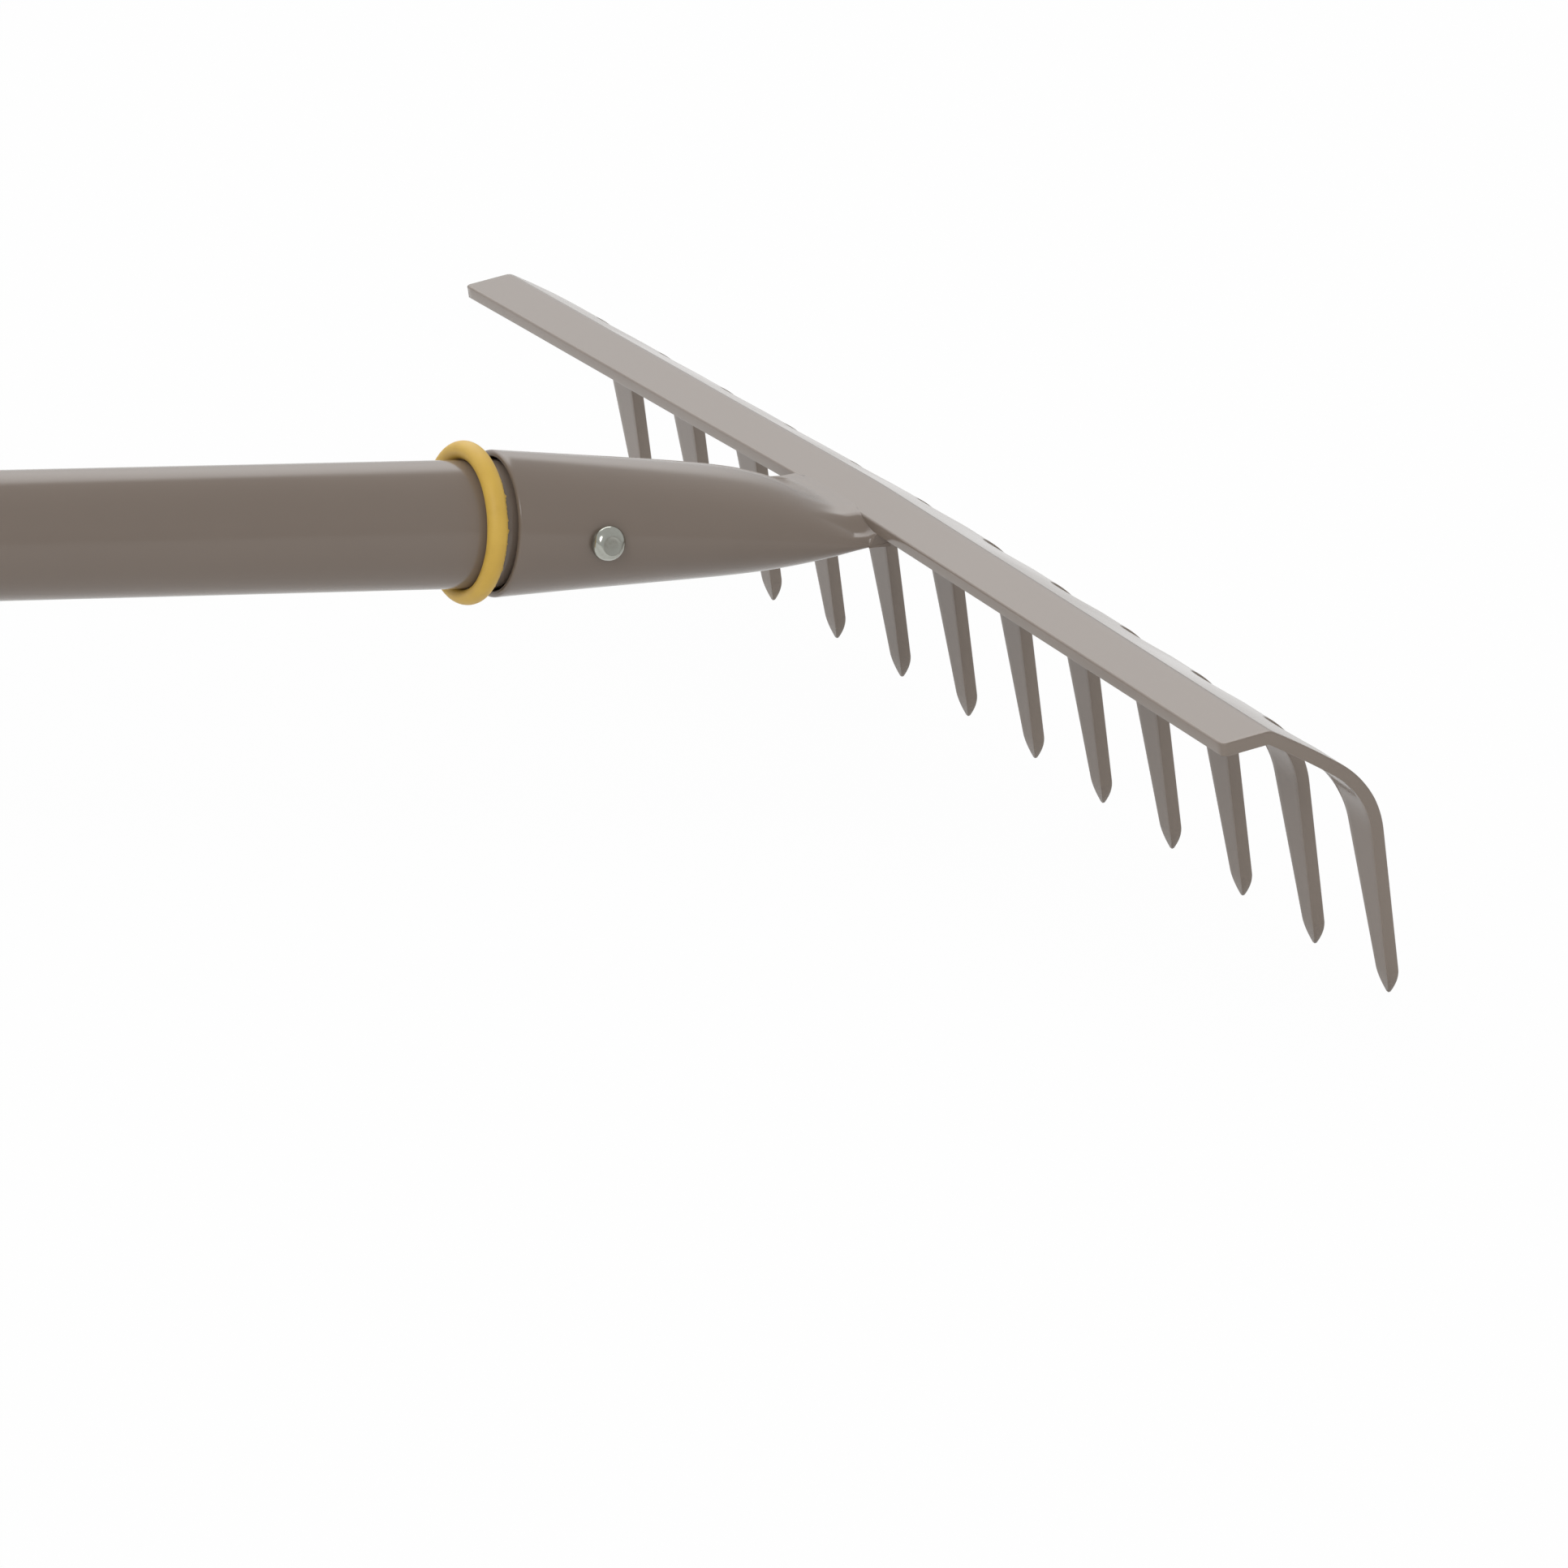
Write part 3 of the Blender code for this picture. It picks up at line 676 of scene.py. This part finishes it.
def makeHandle():
    radius = handle["radius"]
    edge = handle["endEdge"]
    steps = handle["steps"]
    outside = [(-handle["length"], radius - edge), (edge - handle["length"], radius)]
    rowsFar = spread(edge - handle["length"], handle["denseFrom"], handle["farRows"])
    rowsNear = spread(handle["denseFrom"], handle["neckStart"], handle["nearRows"])
    outside += [(x, radius) for x in rowsFar[1:] + rowsNear[1:]]
    for step in range(1, handle["neckSteps"] + 1):
        share = step / handle["neckSteps"]
        outside.append((handle["neckStart"] + handle["neckTaper"] * share,
                        radius + (handle["neckRadius"] - radius) * smooth(0.0, 1.0, share)))
    outside.append((handle["neckEnd"], handle["neckRadius"]))
    rows = [circleAt(x, r, steps) for x, r in outside]
    rows += [circleAt(x, r - handle["wall"], steps) for x, r in reversed(outside[1:])]
    rows.append(circleAt(-handle["length"], radius - handle["wall"], steps))
    points, faces = skin(rows, closed=True)
    return newPiece("handleTube", points, faces, taupePaint, "handle_tube")


makeHandle()
print("rivet and handle made")

# The rubber ring, with the flash that its two-part mould leaves along its rim, torn in a few places
ring = {
    "innerRadius": 12.51, "outerRadius": 15.98, "width": 4.1, "slant": 0.039,
    "flash": 0.3, "flashWidth": 0.13, "evenFlash": 0.55, "tears": ((0.9, 9.0), (0.8, 31.0)),
    "wobble": 0.07, "wobbleSize": 2.3, "wobbleDrift": 0.4, "contactShadeFrom": 0.72, "contactShadeSize": 5.0,
    "steps": 360, "sectionSteps": 48,
}


def makeRing():
    rows = []
    rim = []
    for number in range(ring["steps"]):
        turn = 2 * math.pi * number / ring["steps"]
        spot = Vector((math.cos(turn), math.sin(turn), 0.0))
        ragged = ring["evenFlash"]
        for share, fineness in ring["tears"]:
            ragged += share * softNoise(spot * fineness)
        halfDepth = (ring["outerRadius"] + ringLift * math.sin(turn) - ring["innerRadius"]) / 2
        row = []
        for step in range(ring["sectionSteps"]):
            around = 2 * math.pi * step / ring["sectionSteps"]
            away = math.remainder(around - math.pi / 2, 2 * math.pi)
            flash = ring["flash"] * max(ragged, 0.0) * math.exp(-(away / ring["flashWidth"]) ** 2)
            inner = max(0.0, -math.cos(around))
            drift = Vector((0.0, 0.0, math.cos(around) * ring["wobbleDrift"]))
            swell = ring["wobble"] * softNoise(spot * ring["wobbleSize"] + drift)
            size = 1 + (flash + swell * (1 - inner) - ring["wobble"] / 2) / halfDepth
            radius = ring["innerRadius"] + halfDepth * (1 + (size if inner == 0 else 1) * math.cos(around))
            x = ringX + ring["width"] / 2 * size * math.sin(around) - ring["slant"] * radius * math.cos(turn)
            row.append((x, radius * math.cos(turn), radius * math.sin(turn)))
            # mask for the painted shade where the ring meets the tube: strongest on its inner face, broken by
            # noise
            rim.append(smooth(ring["contactShadeFrom"], 1.0, inner) * (0.5 + 0.5 * softNoise(spot * ring["contactShadeSize"])))
        rows.append(row)
    points, faces = skin(rows, closed=True)
    return newPiece("rubberRing", points, faces, ochreRubber, "rubber_ring", rim=rim,
                    body="ring")


makeRing()

# The end cap: a plug in the tube and a collar with a rounded butt end, crossed by the hanging hole
cap = {
    "seatGap": 0.3, "collarRadius": 13.6, "collarLength": 34.0, "edgeRadius": 6.0, "plugRadius": 11.0,
    "plugLength": 28.0, "plugEdge": 0.8, "holeRadius": 5.0, "holeInset": 15.0, "holeFlare": 1.2,
    "flareRun": (-5.0, 1.0), "lip": 0.6, "wallEnds": (1.5, 0.5), "wallRows": 12,
    "steps": 96, "lipSteps": 5, "edgeSteps": 12, "holeSteps": 64, "holeRows": 32, "holeBeyond": 2.0,
}


def makeCap():
    collarX = -(handle["length"] + cap["seatGap"])
    buttX = collarX - cap["collarLength"]
    outside = [(cap["plugLength"] - handle["length"], cap["plugRadius"] - cap["plugEdge"]),
               (cap["plugLength"] - handle["length"] - cap["plugEdge"], cap["plugRadius"]),
               (collarX, cap["plugRadius"]), (collarX, cap["collarRadius"] - cap["lip"])]
    for step in range(1, cap["lipSteps"] + 1):
        turn = math.pi / 2 * step / cap["lipSteps"]
        outside.append((collarX - cap["lip"] * (1 - math.cos(turn)),
                        cap["collarRadius"] - cap["lip"] * (1 - math.sin(turn))))
    wallFrom, wallTo = cap["wallEnds"]
    wallRows = spread(collarX - wallFrom, buttX + cap["edgeRadius"] + wallTo, cap["wallRows"])
    outside += [(x, cap["collarRadius"]) for x in wallRows]
    for step in range(cap["edgeSteps"] + 1):
        turn = math.pi / 2 * step / cap["edgeSteps"]
        outside.append((buttX + cap["edgeRadius"] * (1 - math.sin(turn)),
                        cap["collarRadius"] - cap["edgeRadius"] * (1 - math.cos(turn))))
    points, faces = skin([circleAt(x, r, cap["steps"]) for x, r in outside], closed=False)
    piece = newPiece("endCap", points, faces, blackPlastic, "end_cap")
    holeX = buttX + cap["holeInset"]
    rows = []
    flareFrom, flareTo = (cap["collarRadius"] + edge for edge in cap["flareRun"])
    half = cap["holeRows"] // 2
    for step in range(-half, half + 1):
        y = step / half * (cap["collarRadius"] + cap["holeBeyond"])
        radius = cap["holeRadius"] + cap["holeFlare"] * smooth(flareFrom, flareTo, abs(y))
        row = []
        for number in range(cap["holeSteps"]):
            turn = 2 * math.pi * number / cap["holeSteps"]
            row.append(rakePlace @ (Vector((holeX + radius * math.cos(turn), y, radius * math.sin(turn))) * mm))
        rows.append(row)
    cutPoints, cutFaces = skin(rows, closed=False)
    cutMesh = bpy.data.meshes.new("holeDrill")
    cutMesh.from_pydata(cutPoints, [], cutFaces)
    drill = bpy.data.objects.new("holeDrill", cutMesh)
    bpy.context.scene.collection.objects.link(drill)
    cut = piece.modifiers.new("hangHole", "BOOLEAN")
    cut.operation = "DIFFERENCE"
    cut.object = drill
    bpy.context.view_layer.update()
    drilled = bpy.data.meshes.new_from_object(piece.evaluated_get(bpy.context.evaluated_depsgraph_get()))
    piece.modifiers.clear()
    piece.data = drilled
    bpy.data.objects.remove(drill)
    return piece


makeCap()
print("ring and cap made")

# The studio: a pale floor, a white wall of light that stands behind the rake and ends at an upright edge on its
# right, a dimmer room on the camera's side and one softbox there. Mirror rays see all that, and the camera sees
# plain white. The turns are directions from the rake.
studio = {
    "floorSize": 80.0, "floorColour": "e6e6e6", "floorRoughness": 0.9, "floorGlow": 0.975,
    "floorNear": 0.5, "floorTurn": (-20.0, 200.0),
    "wallTurn": (-0.876, 0.456, 0.153), "wallEdge": (-0.015, 0.025), "wallHeights": (0.1, 0.8),
    "wallLeft": (0.707, 0.707, 0.0), "wallLeftEdge": (-0.1, 0.2), "wall": (0.85, 2.3),
    "bulgeTurn": (1.0, 0.0, 0.0), "bulgeFrom": 0.462, "bulge": 0.47,
    "overhead": 0.5, "overheadEdge": (0.87, 0.92), "room": 0.58, "roomLow": 0.52, "roomEdge": (0.11, 0.17),
    "softboxTurn": (-0.63, -0.6, 0.51), "softbox": 4.5, "softboxHalf": 12.0, "softboxBlur": 0.005,
}


def makeFloor():
    size = studio["floorSize"] / 2
    mesh = bpy.data.meshes.new("studioFloor")
    mesh.from_pydata([(-size, -size, 0.0), (size, -size, 0.0), (size, size, 0.0), (-size, size, 0.0)], [],
                     [(0, 1, 2, 3)])
    floor = bpy.data.objects.new("studioFloor", mesh)
    bpy.context.scene.collection.objects.link(floor)
    material = bpy.data.materials.new("paleStudioFloor")
    material.use_nodes = True
    tree = material.node_tree
    shader = tree.nodes["Principled BSDF"]
    shader.inputs["Base Color"].default_value = linear(studio["floorColour"])
    shader.inputs["Roughness"].default_value = studio["floorRoughness"]
    shader.inputs["Specular IOR Level"].default_value = 0.0
    # Mirror rays see the floor's front part dimmer than the camera does, as in the photograph's reflections.
    place = addNode(tree, "ShaderNodeNewGeometry").outputs["Position"]
    depth = addNode(tree, "ShaderNodeSeparateXYZ", {0: place}).outputs["Y"]
    near, far = (edge * mm for edge in studio["floorTurn"])
    mirrored = addNode(tree, "ShaderNodeMapRange", {"Value": depth, "From Min": near, "From Max": far,
                                                    "To Min": studio["floorNear"], "To Max": 1.0})
    path = addNode(tree, "ShaderNodeLightPath")
    glossy = calculate(tree, "MULTIPLY", path.outputs["Is Glossy Ray"], mirrored.outputs[0])
    seen = calculate(tree, "MAXIMUM", path.outputs["Is Camera Ray"], glossy)
    seen = calculate(tree, "MAXIMUM", seen, path.outputs["Is Transmission Ray"])
    share = calculate(tree, "MULTIPLY", seen, studio["floorGlow"])
    glow = addNode(tree, "ShaderNodeEmission", {"Color": (1.0, 1.0, 1.0, 1.0), "Strength": 1.0})
    both = addNode(tree, "ShaderNodeMixShader", {0: share, 1: shader.outputs[0], 2: glow.outputs[0]})
    tree.links.new(both.outputs[0], tree.nodes["Material Output"].inputs["Surface"])
    mesh.materials.append(material)


def makeWorld():
    world = bpy.data.worlds.new("studioRoom")
    bpy.context.scene.world = world
    world.use_nodes = True
    tree = world.node_tree
    background = tree.nodes["Background"]
    direction = addNode(tree, "ShaderNodeTexCoord").outputs["Generated"]
    height = addNode(tree, "ShaderNodeSeparateXYZ", {0: direction}).outputs["Z"]

    def towards(turn):
        there = (rakePlace.to_3x3() @ Vector(turn)).normalized()
        product = addNode(tree, "ShaderNodeVectorMath", {0: direction, 1: there}, operation="DOT_PRODUCT")
        return product.outputs["Value"]

    def ramp(value, edge, low, high):
        return addNode(tree, "ShaderNodeMapRange",
                       {"Value": value, "From Min": edge[0], "From Max": edge[1], "To Min": low, "To Max": high},
                       interpolation_type="SMOOTHSTEP").outputs[0]

    def blendOf(share, first, second):
        return addNode(tree, "ShaderNodeMix", {0: share, 2: first, 3: second}, data_type="FLOAT").outputs[0]

    leftEnd = ramp(towards(studio["wallLeft"]), studio["wallLeftEdge"], 0.0, 1.0)
    # Towards the head the wall reaches further round. That stands in for a fuller socket, which would mirror it.
    further = addNode(tree, "ShaderNodeMapRange",
                      {"Value": towards(studio["bulgeTurn"]), "From Min": studio["bulgeFrom"],
                       "From Max": 1.0, "To Min": 0.0, "To Max": studio["bulge"]}).outputs[0]
    onWall = ramp(calculate(tree, "ADD", towards(studio["wallTurn"]), further), studio["wallEdge"], 0.0, leftEnd)
    over = ramp(height, studio["overheadEdge"], 0.0, 1.0)
    wall = blendOf(over, ramp(height, studio["wallHeights"], *studio["wall"]), studio["overhead"])
    room = ramp(height, studio["roomEdge"], studio["roomLow"], studio["room"])
    boxEdge = math.cos(math.radians(studio["softboxHalf"]))
    boxEdges = (boxEdge - studio["softboxBlur"], boxEdge + studio["softboxBlur"])
    inBox = ramp(towards(studio["softboxTurn"]), boxEdges, 0.0, 1.0)
    light = blendOf(inBox, blendOf(onWall, room, wall), studio["softbox"])
    path = addNode(tree, "ShaderNodeLightPath")
    clear = calculate(tree, "MAXIMUM", path.outputs["Is Camera Ray"], path.outputs["Is Transmission Ray"])
    strength = blendOf(clear, light, 1.0)
    background.inputs["Color"].default_value = (1.0, 1.0, 1.0, 1.0)
    tree.links.new(strength, background.inputs["Strength"])


makeFloor()
makeWorld()
print("studio made")

# The camera: the photograph's viewpoint, far off with a long lens
view = {
    "place": (-1008.07, -2190.61, 605.46), "aim": (49.97, -37.74, -43.34), "roll": 5.346,
    "lens": 294.475, "sensor": 36.0, "farthest": 300.0,
}


def makeCamera():
    place = Vector(view["place"])
    forward = (Vector(view["aim"]) - place).normalized()
    level = forward.cross(Vector((0.0, 0.0, 1.0))).normalized()
    upright = level.cross(forward)
    roll = math.radians(view["roll"])
    right = level * math.cos(roll) + upright * math.sin(roll)
    turn = Matrix((right, right.cross(forward), -forward)).transposed().to_4x4()
    turn.translation = place * mm
    data = bpy.data.cameras.new("camera")
    data.lens = view["lens"]
    data.sensor_width = view["sensor"]
    data.clip_end = view["farthest"]
    camera = bpy.data.objects.new("camera", data)
    camera.matrix_world = rakePlace @ turn
    bpy.context.scene.collection.objects.link(camera)
    bpy.context.scene.camera = camera


makeCamera()
bpy.context.scene.view_settings.view_transform = "Standard"
print("camera set")
